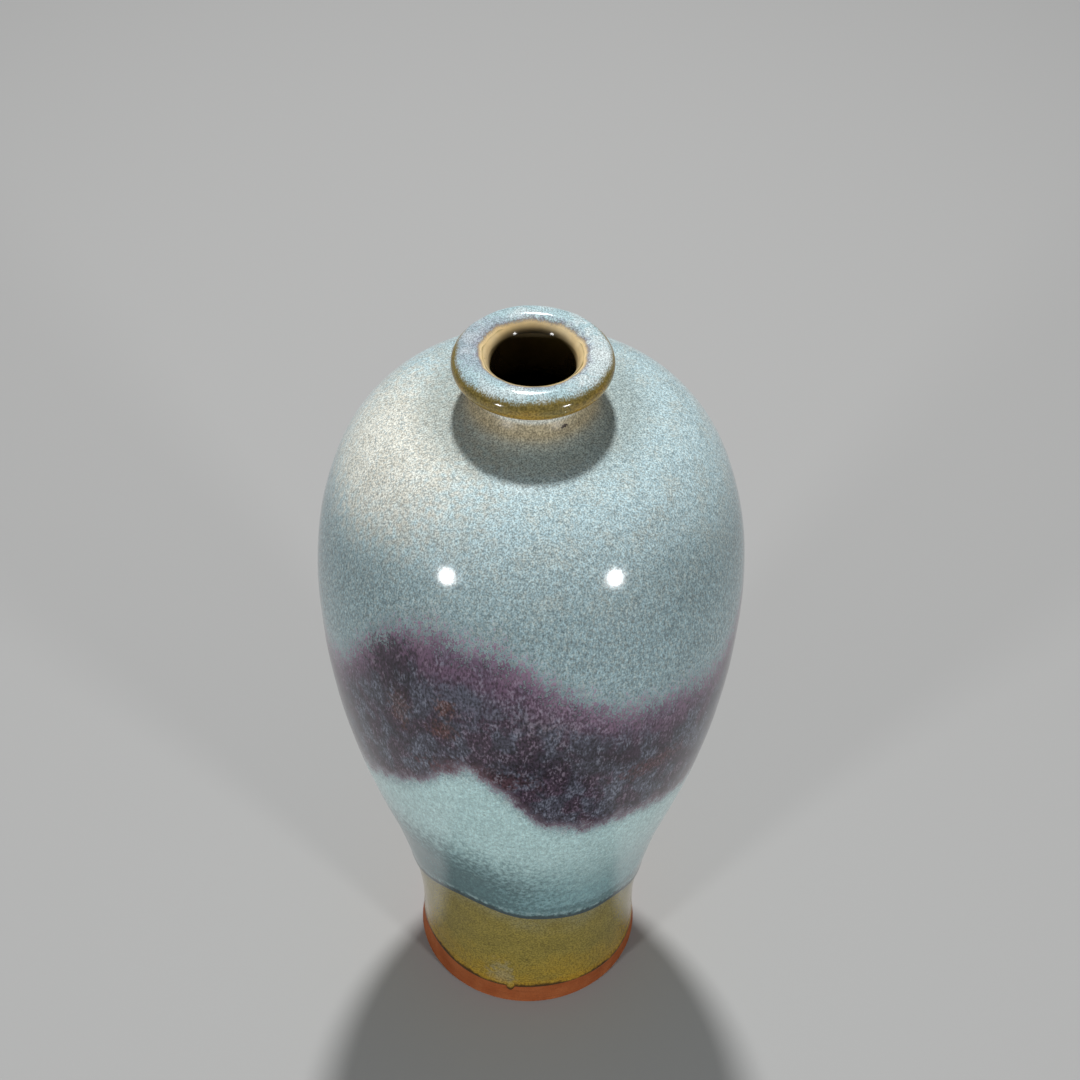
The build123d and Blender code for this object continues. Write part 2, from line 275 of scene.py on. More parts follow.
turn_angles = np.arange(TURNS) * 2 * math.pi / TURNS      # from the front round to the right


def edge_heights(node, inside, outside):
    """Height at each turn where a coat ends, between a height on it and one off it."""
    tree = BVHTree.FromObject(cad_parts[node], bpy.context.evaluated_depsgraph_get())
    heights = []
    for angle in turn_angles:
        facing = Vector((math.sin(angle), -math.cos(angle), 0))
        on, off = inside, outside
        for _ in range(HALVINGS):
            middle = (on + off) / 2
            start = facing * RAY_START + Vector((0, 0, middle))
            if tree.ray_cast(start, -facing, RAY_REACH)[0] is None:
                off = middle
            else:
                on = middle
        heights.append(on)
    return np.array(heights)


SEARCH = 45 * MM
olive_low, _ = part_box("olive_glaze")
blue_low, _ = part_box("blue_glaze")
splash_low, splash_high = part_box("copper_splash")
splash_middle = (splash_low.z + splash_high.z) / 2
hem_edge = along_at_height(edge_heights("olive_glaze", olive_low.z + SEARCH, olive_low.z - MM))
blue_edge = along_at_height(edge_heights("blue_glaze", blue_low.z + SEARCH, blue_low.z - MM))
splash_top = along_at_height(edge_heights("copper_splash", splash_middle, splash_high.z + MM))
splash_end = along_at_height(edge_heights("copper_splash", splash_middle, splash_low.z - MM))
for label, edge in (("hem", hem_edge), ("blue", blue_edge), ("top", splash_top), ("end", splash_end)):
    print(label, "edge along the wall", round(edge.min() / MM, 1), "to", round(edge.max() / MM, 1), "mm")

# %% [markdown]
# ## Spinning a skin
# A glaze coat is a thin closed skin: up the outside, over its edge and back down the inside. A Screw
# modifier spins one outline the same all round, and these edges are never the same all round. So
# each skin is a grid, with one column of points for each turn, and every column has its own outline.
# A measure such as the distance from an edge rides along on the points, for the glaze colours to use.

# %% Grid skins
SHARP_EDGE = math.radians(40)


def spun(name, radii, heights, marks, closed, hidden_rows=0):
    """Mesh from a grid of rows and turns; closed rows join the last row back to the first."""
    rows = radii.shape[0]
    places = np.stack([radii * np.sin(turn_angles), -radii * np.cos(turn_angles), heights], axis=2)
    row, turn = np.meshgrid(np.arange(rows if closed else rows - 1), np.arange(TURNS), indexing="ij")
    row_after = (row + 1) % rows
    turn_after = (turn + 1) % TURNS
    grid = [row * TURNS + turn, row * TURNS + turn_after]
    grid += [row_after * TURNS + turn_after, row_after * TURNS + turn]
    faces = np.stack(grid, axis=2).reshape(-1, 4).tolist()
    if not closed:
        faces += [list(range(TURNS))[::-1], list(range((rows - 1) * TURNS, rows * TURNS))]
    mesh = bpy.data.meshes.new(name)
    mesh.from_pydata(places.reshape(-1, 3).tolist(), [], faces)
    for mark, values in marks.items():
        layer = mesh.attributes.new(mark, "FLOAT", "POINT")
        spread = np.broadcast_to(values, radii.shape).reshape(-1)
        layer.data.foreach_set("value", spread.astype(np.float32))
    lay_flat(mesh, places, row, turn, hidden_rows)
    mesh.polygons.foreach_set("use_smooth", np.ones(len(mesh.polygons), bool))
    mesh.set_sharp_from_angle(angle=SHARP_EDGE)
    piece = bpy.data.objects.new(name, mesh)
    bpy.context.scene.collection.objects.link(piece)
    return piece


HIDDEN_SHARE = 0.05           # a row that never shows gets this share of its place on the flat map


def lay_flat(mesh, places, row, turn, hidden_rows):
    """Flat map of a grid skin: turns go across, rows go up, and rows that never show are squeezed."""
    rows = places.shape[0]
    gaps = np.linalg.norm(np.roll(places, -1, axis=0) - places, axis=2).mean(axis=1)
    gaps[rows - hidden_rows:] *= HIDDEN_SHARE
    rise = np.concatenate([[0], np.cumsum(gaps[: row.shape[0]])])
    rise = rise / rise[-1]
    across = np.stack([turn, turn + 1, turn + 1, turn], axis=2).reshape(-1) / TURNS
    upward = np.stack([rise[row], rise[row], rise[row + 1], rise[row + 1]], axis=2).reshape(-1)
    flat = mesh.uv_layers.new(name="OFBake")
    values = np.zeros((len(mesh.loops), 2), np.float32)
    values[: len(across), 0] = across
    values[: len(across), 1] = upward
    flat.data.foreach_set("uv", values.reshape(-1))


def rows_between(start, end, count, crowd=1):
    """Rows along the wall from one edge to another; a crowd over 1 packs them towards the second."""
    share = 1 - (1 - np.linspace(0, 1, count)) ** crowd
    return start + (end - start) * share[:, None]


def ease(low, high, values):
    """Smooth step from 0 to 1 between two values."""
    t = np.clip((values - low) / (high - low), 0, 1)
    return t * t * (3 - 2 * t)


def waves(*terms):
    """A wavy line round the vase, from terms of size in millimetres, count and phase."""
    return MM * sum(size * np.sin(count * turn_angles + phase) for size, count, phase in terms)


# %% Closed skins on the wall
BULGE_SPREAD = 0.9 * MM


def rolled(past, width):
    """Height of a rounded edge, from 0 at the edge to 1 at a width past it."""
    return np.sqrt(np.clip(1 - (1 - np.clip(past / width, 0, 1)) ** 2, 0, 1))


def bulged(past, size, centre):
    """Low swelling that stands a little back from an edge."""
    return size * np.exp(-((past - centre) / BULGE_SPREAD) ** 2)


def skin(name, front, lift, back, back_lift, measure):
    """Skin with a front and a back on the wall; the measure gives the marks for its points."""
    sides = [on_wall(front, lift), on_wall(back, back_lift)]
    radii, heights = [np.vstack(rows) for rows in zip(*sides)]
    return spun(name, radii, heights, measure(np.vstack([front, back])), True, len(back))


def stand_for(piece, material, node):
    """The piece gets its finish and takes the place of a CAD node."""
    piece.data.materials.append(material)
    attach(piece, "root")
    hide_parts(node)
    print(piece.name, len(piece.data.polygons), "faces, stands for", node)


# %% [markdown]
# ## A bench for finishes
# A finish is a tree of shader nodes. Setting up each node by hand takes four or five lines, so a
# small bench does it in one: it adds a node, sets its values and joins the wires that it is given.

# %% Node bench
class Bench:
    """Adds nodes to one tree; a value that is a socket becomes a wire."""

    def __init__(self, tree):
        self.tree = tree

    def add(self, kind, inputs, **settings):
        made = self.tree.nodes.new("ShaderNode" + kind)
        for name, value in settings.items():
            setattr(made, name, value)
        for name, value in inputs.items():
            if isinstance(value, bpy.types.NodeSocket):
                self.tree.links.new(value, made.inputs[name])
            else:
                made.inputs[name].default_value = value
        return made

    def sum(self, operation, *values):
        return self.add("Math", dict(enumerate(values)), operation=operation).outputs[0]

    def times(self, *values):
        return self.sum("MULTIPLY", *values)

    def scaled(self, value, scale, base):
        return self.sum("MULTIPLY_ADD", value, scale, base)

    def sway(self, grain, amount, base):
        return self.scaled(self.sum("SUBTRACT", grain, 0.5), amount, base)

    def ramp(self, value, low, high):
        wires = {"Value": value, "From Min": low, "From Max": high}
        return self.add("MapRange", wires, interpolation_type="SMOOTHSTEP").outputs["Result"]

    def blend(self, share, under, over):
        under, over = [(*c, 1) if isinstance(c, tuple) else c for c in (under, over)]
        wires = {"Factor": share, 6: under, 7: over}
        return self.add("Mix", wires, data_type="RGBA").outputs[2]

    def lay(self, tone, over, share, most):
        return self.blend(self.times(share, most), tone, over)

    def noise(self, place, grain, detail=2.0, rough=0.5):
        wires = {"Vector": place, "Scale": 1 / grain, "Detail": detail, "Roughness": rough}
        return self.add("TexNoise", wires).outputs["Fac"]

    def place(self):
        return self.add("TexCoord", {}).outputs["Object"]

    def axes(self, place):
        return self.add("SeparateXYZ", {"Vector": place}).outputs

    def mark(self, name):
        return self.add("Attribute", {}, attribute_name=name).outputs["Fac"]

    def shade(self, tone, grain, amount):
        factor = self.sway(grain, amount, 1.0)
        return self.add("VectorMath", {0: tone, "Scale": factor}, operation="SCALE").outputs["Vector"]

    def stretch(self, place, scale):
        return self.add("VectorMath", {0: place, 1: scale}, operation="MULTIPLY").outputs["Vector"]


def finish_tree(name):
    """New material with a bench on its tree and its Principled shader."""
    material = bpy.data.materials.new(name)
    material.use_nodes = True
    return material, Bench(material.node_tree), material.node_tree.nodes["Principled BSDF"]


def front_point(turn, radius, height):
    """Point so many degrees round from the front, in millimetres from the axis and the floor."""
    angle = math.radians(turn)
    return (radius * math.sin(angle) * MM, -radius * math.cos(angle) * MM, height * MM)


GLAZE_SHINE = 0.38            # a little below plain glass, for every glaze


def wire(bench, shader, **sockets):
    for name, source in sockets.items():
        bench.tree.links.new(source, shader.inputs[name.replace("_", " ")])


def glossy(bench, shader, tone, rough, grain, depth):
    """Wires a glaze's colour, its roughness and the fine grain in its skin."""
    bump = bench.add("Bump", {"Height": grain, "Distance": depth, "Strength": 0.3})
    shader.inputs["Specular IOR Level"].default_value = GLAZE_SHINE
    wire(bench, shader, Base_Color=tone, Roughness=rough, Normal=bump.outputs["Normal"])


# %% [markdown]
# ## Effects shared by the finishes
# Several glazes have the same habits: a sandy mottle where they break over the clay, runs that
# follow the slope, specks of iron, soft-edged patches where the coat is thicker. Each habit is a
# node group, made once with named inputs, and every finish places it with its own values.

# %% Group helper and the mottle group
def effect(name, inputs, outputs):
    """Empty node group with float and vector inputs and float outputs, and a bench on it."""
    tree = bpy.data.node_groups.new(name, "ShaderNodeTree")
    for label, kind in inputs.items():
        tree.interface.new_socket(label, in_out="INPUT", socket_type="NodeSocket" + kind)
    for label in outputs:
        tree.interface.new_socket(label, in_out="OUTPUT", socket_type="NodeSocketFloat")
    given = tree.nodes.new("NodeGroupInput").outputs
    return Bench(tree), given, tree.nodes.new("NodeGroupOutput").inputs


def place_effect(bench, name, **inputs):
    """The outputs of an effect placed in a finish."""
    wires = {label.replace("_", " "): value for label, value in inputs.items()}
    return bench.add("Group", wires, node_tree=bpy.data.node_groups[name]).outputs


def soft_patch(bench, place, centre, reach, rag, ragged_by):
    """Share of a point that one ragged patch takes."""
    wires = {"Place": place, "Centre": centre, "Reach": reach, "Rag": rag, "Ragged_by": ragged_by}
    return place_effect(bench, "soft patch", **wires)["Patch"]


MOTTLES = (("Fine", 1.0, 1.5), ("Tint", 1.7, 1.0), ("Sandy", 3.4, 2.0), ("Cloud", 17.0, 3.0))

mottle_inputs = {"Place": "Vector", "Grain": "Float"}
bench, given, out = effect("glaze mottle", mottle_inputs, [label for label, _, _ in MOTTLES])
for label, wider, detail in MOTTLES:
    scale = bench.sum("DIVIDE", 1 / wider, given["Grain"])
    noise = bench.add("TexNoise", {"Vector": given["Place"], "Scale": scale, "Detail": detail})
    bench.tree.links.new(bench.ramp(noise.outputs["Fac"], 0.28, 0.72), out[label])
print("group: glaze mottle")

# %% Runs, patches and specks
RUN_GIRTH = 74 * MM           # runs keep the width that they have at this radius

run_inputs = {"Place": "Vector", "Width": "Float", "Length": "Float"}
bench, given, out = effect("glaze runs", run_inputs, ["Runs"])
flat = bench.stretch(given["Place"], (1, 1, 0))
girth = bench.add("VectorMath", {0: flat}, operation="NORMALIZE").outputs["Vector"]
wide = bench.axes(bench.stretch(girth, (RUN_GIRTH,) * 3))
squash = bench.sum("DIVIDE", given["Width"], given["Length"])
drop = bench.times(bench.axes(given["Place"])["Z"], squash)
slope = bench.add("CombineXYZ", {"X": wide["X"], "Y": wide["Y"], "Z": drop}).outputs["Vector"]
scale = bench.sum("DIVIDE", 1.0, given["Width"])
noise = bench.add("TexNoise", {"Vector": slope, "Scale": scale, "Detail": 3.0})
bench.tree.links.new(bench.ramp(noise.outputs["Fac"], 0.3, 0.7), out["Runs"])

patch_inputs = dict.fromkeys(("Place", "Centre", "Reach"), "Vector")
patch_inputs.update({"Rag": "Float", "Ragged by": "Float"})
bench, given, out = effect("soft patch", patch_inputs, ["Patch"])
apart = bench.add("VectorMath", {0: given["Place"], 1: given["Centre"]}, operation="SUBTRACT")
apart = bench.add("VectorMath", {0: apart.outputs["Vector"], 1: given["Reach"]}, operation="DIVIDE")
apart = bench.add("VectorMath", {0: apart.outputs["Vector"]}, operation="LENGTH").outputs["Value"]
rag = bench.times(bench.sum("SUBTRACT", given["Ragged by"], 0.5), given["Rag"])
bench.tree.links.new(bench.ramp(bench.sum("ADD", apart, rag), 1.15, 0.35), out["Patch"])

speck_inputs = {"Place": "Vector", "Spacing": "Float", "Size": "Float"}
bench, given, out = effect("iron specks", speck_inputs, ["Specks"])
scale = bench.sum("DIVIDE", 1.0, given["Spacing"])
cells = bench.add("TexVoronoi", {"Vector": given["Place"], "Scale": scale})
sort = bench.add("SeparateColor", {"Color": cells.outputs["Color"]}).outputs["Red"]
limit = bench.times(given["Size"], bench.sum("POWER", sort, 3.0))
outside = bench.sum("SUBTRACT", cells.outputs["Distance"], limit)
bench.tree.links.new(bench.ramp(outside, 0.04, -0.04), out["Specks"])
print("groups:", sorted(group.name for group in bpy.data.node_groups))

# %% [markdown]
# ## The clay
# Red stoneware shows only at the foot, where the glaze was wiped away so that the pot wouldn't stick
# to the kiln shelf. It is matt, orange-brown where the flame flashed it and darker next to the glaze,
# and the trimming tool left fine level rings. The rings are real grooves in a finer copy of the lower
# section, because grooves hold the raking light better than a bump does.

# %% Stoneware and slip finishes
STONEWARE_TONES = ((0.38, 0.112, 0.034), (0.31, 0.078, 0.020), (0.18, 0.045, 0.014))
SLIP_TONES = ((0.50, 0.24, 0.13), (0.42, 0.17, 0.08), (0.25, 0.09, 0.05))
CLAY_SPECK = (0.03, 0.015, 0.01)


def clay_finish(name, pale, flashed, dark):
    """Matt fired clay with grains, flashing and darker sand."""
    material, bench, shader = finish_tree(name)
    place = bench.place()
    mottle = place_effect(bench, "glaze mottle", Place=place, Grain=0.5 * MM)
    rings = bench.noise(bench.stretch(place, (0.06, 0.06, 1)), 0.7 * MM, 3.0, 0.6)
    tone = bench.blend(mottle["Cloud"], flashed, pale)
    tone = bench.lay(tone, dark, bench.ramp(rings, 0.45, 0.8), 0.45)
    tone = bench.shade(tone, mottle["Fine"], 0.22)
    specks = place_effect(bench, "iron specks", Place=place, Spacing=3.0 * MM, Size=0.16)
    tone = bench.blend(bench.times(specks["Specks"], 0.5), tone, CLAY_SPECK)
    rough = bench.scaled(mottle["Sandy"], 0.2, 0.65)
    bump = bench.add("Bump", {"Height": mottle["Fine"], "Distance": 0.03 * MM, "Strength": 0.4})
    shader.inputs["Specular IOR Level"].default_value = 0.25
    wire(bench, shader, Base_Color=tone, Roughness=rough, Normal=bump.outputs["Normal"])
    return material


stoneware = clay_finish("stoneware", *STONEWARE_TONES)
slip = clay_finish("slip", *SLIP_TONES)
for node, material in (
    ("upper_body", stoneware),
    ("neck_and_lip", stoneware),
    ("belly_slip_joint", slip),
    ("neck_slip_joint", slip),
):
    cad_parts[node].data.materials.clear()
    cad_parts[node].data.materials.append(material)
print("clay finishes:", stoneware.name, slip.name)

# %% Lower section with its turned foot
CORNER_TURN = math.radians(25)
FOOT_STEP = 0.40 * MM
HIDDEN_STEP = 8 * MM
AXIS_GAP = 0.25 * MM


def split_at_corners(points):
    """The smooth runs of an outline, parted where it turns sharply."""
    steps = np.diff(points, axis=0)
    headings = np.unwrap(np.arctan2(steps[:, 1], steps[:, 0]))
    sharp = np.flatnonzero(np.abs(np.diff(headings)) > CORNER_TURN) + 1
    bounds = [0, *sharp, len(points) - 1]
    return [points[a: b + 1] for a, b in zip(bounds, bounds[1:])]


clay_section = half_section("lower_body")
glaze_line = olive_low.z + SEARCH / 3
clay_rows = []
for stretch in split_at_corners(clay_section):
    fine = smooth_line(stretch, FOOT_STEP)
    keep = np.ones(len(fine), bool)
    hidden = fine[:, 1] > glaze_line
    keep[hidden] = np.arange(len(fine))[hidden] % int(HIDDEN_STEP / FOOT_STEP) == 0
    keep[[0, -1]] = True
    clay_rows.append(fine[keep])
clay_line = np.vstack([rows[:-1] for rows in clay_rows] + [clay_rows[-1][-1:]])
clay_line[:, 0] = np.maximum(clay_line[:, 0], AXIS_GAP)
print("clay outline:", len(clay_line), "rows")

# %% Cut the tool rings and spin the clay
TOOL_PITCH = 1.15 * MM
TOOL_DEPTH = 0.05 * MM
BASE_TOOL_PITCH = 2.3 * MM
BASE_TOOL_DEPTH = 0.10 * MM
TOOL_WANDER = ((0.2, 1, 0.7), (0.12, 3, 0))
FOOT_SLICE = 2 * MM           # the foot's radius is measured below this height
FOOT_BAND = 4 * MM            # wall rings stay this near the foot's radius
FOOT_CLEAR = 1.2 * MM         # and this far off the floor
RING_BAND = 9.5 * MM          # the resting ring stays plain this far in
BASE_CEILING = 10 * MM        # the recess under the foot is lower than this


def ripple(values, pitch):
    """Even ripple between 0 and 1."""
    return 0.5 + 0.5 * np.sin(2 * math.pi * values / pitch)


clay_r, clay_z = clay_line.T
outer = np.arange(len(clay_line)) < int(np.argmax(clay_z))
foot_radius = clay_r[clay_z < FOOT_SLICE].max()
on_wall_side = outer & (clay_r > foot_radius - FOOT_BAND)
on_wall_side &= (clay_z > FOOT_CLEAR) & (clay_z < glaze_line)
on_base = outer & (clay_r < foot_radius - RING_BAND) & (clay_z < BASE_CEILING)
line_r = np.repeat(clay_r[:, None], TURNS, axis=1)
line_z = np.repeat(clay_z[:, None], TURNS, axis=1)
wander = waves(*TOOL_WANDER)
wall_rings = ripple(line_z + wander, TOOL_PITCH)
base_rings = ripple(line_r + 2 * wander, BASE_TOOL_PITCH)
line_r = line_r - TOOL_DEPTH * wall_rings * on_wall_side[:, None]
line_z = line_z + BASE_TOOL_DEPTH * base_rings * on_base[:, None]
clay_piece = spun("turned_lower_section", line_r, line_z, {}, closed=False)
stand_for(clay_piece, stoneware, "lower_body")

# %% [markdown]
# ## The lining
# Glaze was poured in, swirled and poured out, so the inside has a thin amber coat. It shows only
# round the mouth, where it is thin over the bevel and bright; lower down, the throat's shade is painted
# into its colour.

# %% Lining finish
AMBER_THIN = (0.93, 0.76, 0.46)
AMBER_WARM = (0.86, 0.64, 0.32)
LINING_SHADE_DARK = (0.022, 0.015, 0.006)
LINING_SHADE_OLIVE = (0.045, 0.032, 0.010)
IRON = (0.045, 0.026, 0.013)
THROAT_SHADE_SPAN = (0.2952, 0.2920)  # heights in metres over which the amber sinks into painted shade of the throat
THROAT_SHADE_TILT = 0.21            # the painted shade climbs higher at the back, where the back wall gets no key light


def mouth_colour(bench, place):
    """Thin amber over the mouth's bevel, sinking into dark olive with the throat's shade painted in,
    higher at the back.
    """
    mottle = place_effect(bench, "glaze mottle", Place=place, Grain=0.9 * MM)
    axis = bench.axes(place)
    # painted shade: the height is tilted so that the dark reaches higher on the shaded back wall
    height = bench.scaled(axis["Y"], -THROAT_SHADE_TILT, axis["Z"])
    tone = bench.blend(mottle["Cloud"], AMBER_WARM, AMBER_THIN)
    tone = bench.shade(tone, mottle["Sandy"], 0.12)
    # painted shade: the lining's dark olive is darkened further to stand for the unlit depth of the
    # throat
    deep = bench.blend(mottle["Cloud"], LINING_SHADE_DARK, LINING_SHADE_OLIVE)
    return bench.blend(bench.ramp(height, *THROAT_SHADE_SPAN), tone, deep)


def specked(bench, place, tone, spacing, size, most):
    """A tone with specks of iron, so many millimetres apart."""
    specks = place_effect(bench, "iron specks", Place=place, Spacing=spacing * MM, Size=size)
    return bench.blend(bench.times(specks["Specks"], most), tone, IRON)


def lining_finish():
    material, bench, shader = finish_tree("lining_glaze")
    place = bench.place()
    tone = specked(bench, place, mouth_colour(bench, place), 3.0, 0.22, 0.8)
    wire(bench, shader, Base_Color=tone)
    shader.inputs["Roughness"].default_value = 0.10
    shader.inputs["Specular IOR Level"].default_value = GLAZE_SHINE
    return material


lining_material = lining_finish()
print("finish:", lining_material.name)

# %% Lining skin
LINING_ROWS = 130
LINING_BACK_ROWS = 76
LINING_SHELL = 0.37 * MM

lining_rows = lining_line[np.linspace(0, len(lining_line) - 1, LINING_ROWS).astype(int)]
lining_slope = np.gradient(lining_rows, axis=0)
lining_slope = lining_slope / np.linalg.norm(lining_slope, axis=1)[:, None]
behind = lining_rows + LINING_SHELL * np.stack([lining_slope[:, 1], -lining_slope[:, 0]], axis=1)
behind = behind[np.linspace(0, LINING_ROWS - 1, LINING_BACK_ROWS).astype(int)]
lining_grid = np.vstack([behind, lining_rows[::-1]])
lining_grid[:, 0] = np.maximum(lining_grid[:, 0], AXIS_GAP)
columns = np.ones(TURNS)
lining_r, lining_z = [lining_grid[:, i: i + 1] * columns for i in (0, 1)]
lining_piece = spun("poured_lining", lining_r, lining_z, {}, closed=False)
stand_for(lining_piece, lining_material, "lining_glaze")

# %% [markdown]
# ## The olive dip
# The whole pot was dipped in a thin iron glaze. It stays in sight on the lip's edge and below the
# blue, glassy and olive, with a blue haze where the upper glaze began to run into it, gold where it
# thickens at its hem, and a fine dark line where it ends on the clay with one short drip.

# %% Olive finish
OLIVE_GREEN = (0.270, 0.215, 0.044)
OLIVE_GOLD = (0.355, 0.235, 0.026)
OLIVE_DEEP = (0.120, 0.090, 0.018)
OLIVE_HAZE = (0.225, 0.230, 0.150)
HEM_GOLD = (0.375, 0.215, 0.020)
HEM_DARK = (0.040, 0.018, 0.006)
DRIP_VEIL = (0.300, 0.325, 0.280)
EDGE_BROWN = (0.370, 0.225, 0.036)
EDGE_OLIVE = (0.215, 0.165, 0.048)
EDGE_SPAN = (0.2918, 0.2968)  # heights in metres over which the brown turns to olive
HEM_SHADE_SIDE = (0.006, -0.024)    # metres to the right; the hem's dark line is widened to the left as painted shade
DRIP_PATCH = (front_point(-14, 43, 14), (0.006, 0.010, 0.012))


def edge_colour(bench, place, mottle):
    """Olive on the lip's brow, brown lower down on its edge."""
    height = bench.axes(place)["Z"]
    ragged = bench.sway(mottle["Cloud"], 4 * MM, height)
    return bench.blend(bench.ramp(ragged, *EDGE_SPAN), EDGE_BROWN, EDGE_OLIVE)


def olive_finish():
    material, bench, shader = finish_tree("olive_glaze")
    place = bench.place()
    mottle = place_effect(bench, "glaze mottle", Place=place, Grain=0.7 * MM)
    hem = bench.mark("hem")
    low = bench.scaled(mottle["Cloud"], 14.0, hem)
    tone = bench.blend(bench.ramp(low, 34.0, 2.0), OLIVE_GREEN, OLIVE_GOLD)
    deep = bench.times(bench.ramp(mottle["Cloud"], 0.4, 1.0), 0.18)
    tone = bench.blend(deep, tone, OLIVE_DEEP)
    veil = bench.scaled(mottle["Cloud"], 8.0, bench.mark("under_blue"))
    haze = bench.times(bench.ramp(veil, 20.0, -2.0), bench.scaled(mottle["Tint"], 0.35, 0.35))
    tone = bench.blend(haze, tone, OLIVE_HAZE)
    drip = soft_patch(bench, place, *DRIP_PATCH, 0.7, mottle["Sandy"])
    tone = bench.lay(tone, DRIP_VEIL, drip, 0.32)
    gold = bench.ramp(bench.scaled(mottle["Sandy"], 1.5, hem), 6.5, 1.8)
    tone = bench.lay(tone, HEM_GOLD, gold, 0.8)
    tone = bench.blend(bench.mark("lip"), tone, edge_colour(bench, place, mottle))
    tone = bench.shade(tone, mottle["Fine"], 0.75)
    wander = bench.scaled(mottle["Cloud"], -1.6, hem)
    # painted shade: the dark line at the hem widens towards the shaded left side
    side = bench.ramp(bench.axes(place)["X"], *HEM_SHADE_SIDE)
    wander = bench.scaled(side, -0.9, wander)
    rim = bench.ramp(bench.scaled(mottle["Sandy"], 0.7, wander), 1.9, 0.2)
    tone = bench.lay(tone, HEM_DARK, rim, 0.92)
    tone = bench.blend(bench.mark("mouth"), tone, mouth_colour(bench, place))
    tone = specked(bench, place, tone, 3.6, 0.16, 0.45)
    rough = bench.scaled(mottle["Sandy"], 0.05, 0.09)
    glossy(bench, shader, tone, rough, mottle["Sandy"], 0.015 * MM)
    return material


olive_material = olive_finish()
print("finish:", olive_material.name)

# %% Olive skin
OLIVE_COAT = 0.4 * MM
HEM_ROLL = 0.16 * MM
HEM_ROLL_AT = 1.2 * MM
HEM_WIDTH = 0.8 * MM
HEM_LIFT = 0.03 * MM          # the very edge and the back stay this far off the clay
BACK_LIFT = 0.02 * MM
HEM_STEPS = np.array([0, 0.08, 0.2, 0.35, 0.55, 0.8, 1.1, 1.5, 2.0, 2.6, 3.3, 4.2]) * MM
OLIVE_ROWS = 50
OLIVE_COVERED_ROWS = 36
OLIVE_LIP_ROWS = 64
OLIVE_BACK_ROWS = 26
OLIVE_LIP_BACK_ROWS = 23
CROWD = 2                     # rows out of sight are packed towards the neck, where the wall is hollow
BLUE_OVERLAP = 8 * MM
NECK_REACH = 4 * MM
LAP_LIFT = 0.03 * MM
LIP_ROOT_DROP = 0.4 * MM
BEVEL_SPAN = (3.6 * MM, 5.0 * MM)   # past the crest, where the amber of the mouth comes in
LIP_SPAN = (-1 * MM, 2 * MM)        # past the lip's root, where the lip's own olive comes in

lip_root_along = along_at_height(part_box("blue_glaze")[1].z - LIP_ROOT_DROP)
covered_from = blue_edge + BLUE_OVERLAP
neck_along = (lip_root_along - NECK_REACH) * columns
olive_start = hem_edge + HEM_STEPS[:, None]
olive_shown = rows_between(olive_start[-1], covered_from, OLIVE_ROWS)
olive_covered = rows_between(covered_from, neck_along, OLIVE_COVERED_ROWS, CROWD)
lip_rows = rows_between(neck_along, wall_along[-1], OLIVE_LIP_ROWS)
olive_along = np.vstack([olive_start, olive_shown[1:], olive_covered[1:], lip_rows[1:]])
olive_end = wall_along[-1] - MOUTH_LAP
body_back = rows_between(hem_edge, neck_along, OLIVE_BACK_ROWS, CROWD)
lip_back = rows_between(neck_along, olive_end, OLIVE_LIP_BACK_ROWS)
olive_back = np.vstack([body_back, lip_back[1:]])[::-1]
print("olive rows:", len(olive_along), "outside,", len(olive_back), "behind")


def olive_marks(along):
    """Distance from the hem and from the blue in millimetres, and shares of mouth and lip."""
    marks = {"hem": (along - hem_edge) / MM, "under_blue": (blue_edge - along) / MM}
    marks["mouth"] = ease(*(wall_along[crest_index] + reach for reach in BEVEL_SPAN), along)
    marks["lip"] = ease(*(lip_root_along + reach for reach in LIP_SPAN), along)
    return marks


past_hem = olive_along - hem_edge
roll = rolled(past_hem, HEM_WIDTH)
olive_lift = roll * (OLIVE_COAT + bulged(past_hem, HEM_ROLL, HEM_ROLL_AT)) - OLIVE_COAT
olive_lift = olive_lift + HEM_LIFT * (1 - roll) + LAP_LIFT * ease(olive_end - MM, olive_end, olive_along)
back_lift = BACK_LIFT - OLIVE_COAT
olive_piece = skin("olive_dip", olive_along, olive_lift, olive_back, back_lift, olive_marks)
stand_for(olive_piece, olive_material, "olive_glaze")

# %% [markdown]
# ## The blue dip and its copper splash
# The second glaze is thick and milky. It breaks into a sandy mottle of pale blue, grey and cream,
# runs a little down the slope, and ends in a rolled bead. The copper sank into its skin and bled, so
# the two share one field of colour: both skins measure how far a point lies from the splash's edges,
# and the purple, the slate and the maroon all follow from that.

# %% Colours of the milky ground
SKY = (0.48, 0.625, 0.655)
GREY_TEAL = (0.275, 0.38, 0.405)
TURQUOISE = (0.455, 0.645, 0.645)
LOW_TURQUOISE = (0.215, 0.385, 0.41)
TEAL = (0.066, 0.126, 0.138)
CREAM = (0.82, 0.80, 0.70)
WARM_GRAIN = (0.50, 0.47, 0.38)
COOL_GRAIN = (0.31, 0.45, 0.51)
BEIGE = (0.486, 0.391, 0.221)
NECK_SHADE_GREY = (0.32, 0.375, 0.355)
CREAM_PATCH = (front_point(-74, 48, 269), (0.046, 0.046, 0.024))
POOL_PATCH = (front_point(-36, 55, 84), (0.048, 0.048, 0.040))
SKY_SPAN = (0.264, 0.236)     # heights in metres: sky blue turns to grey teal
STEEP_SPAN = (0.262, 0.236)   # the wall gets steep enough to draw out the grain
CLOUD_SPAN = (0.225, 0.265)   # warm clouds come in
ROOT_SHADE_SPAN = (0.2738, 0.2768)  # grey at the root of the neck: partly the thin glaze, partly painted shade of the lip's shadow
NECK_SPAN = (0.2772, 0.2814)  # beige up the neck
NECK_END = (0.2852, 0.2836)   # which stops short of the lip
LIT_STRIP_SPAN = (0.2832, 0.2844)  # pale strip under the lip: partly a pale band of glaze, partly painted light on the lit top of the neck
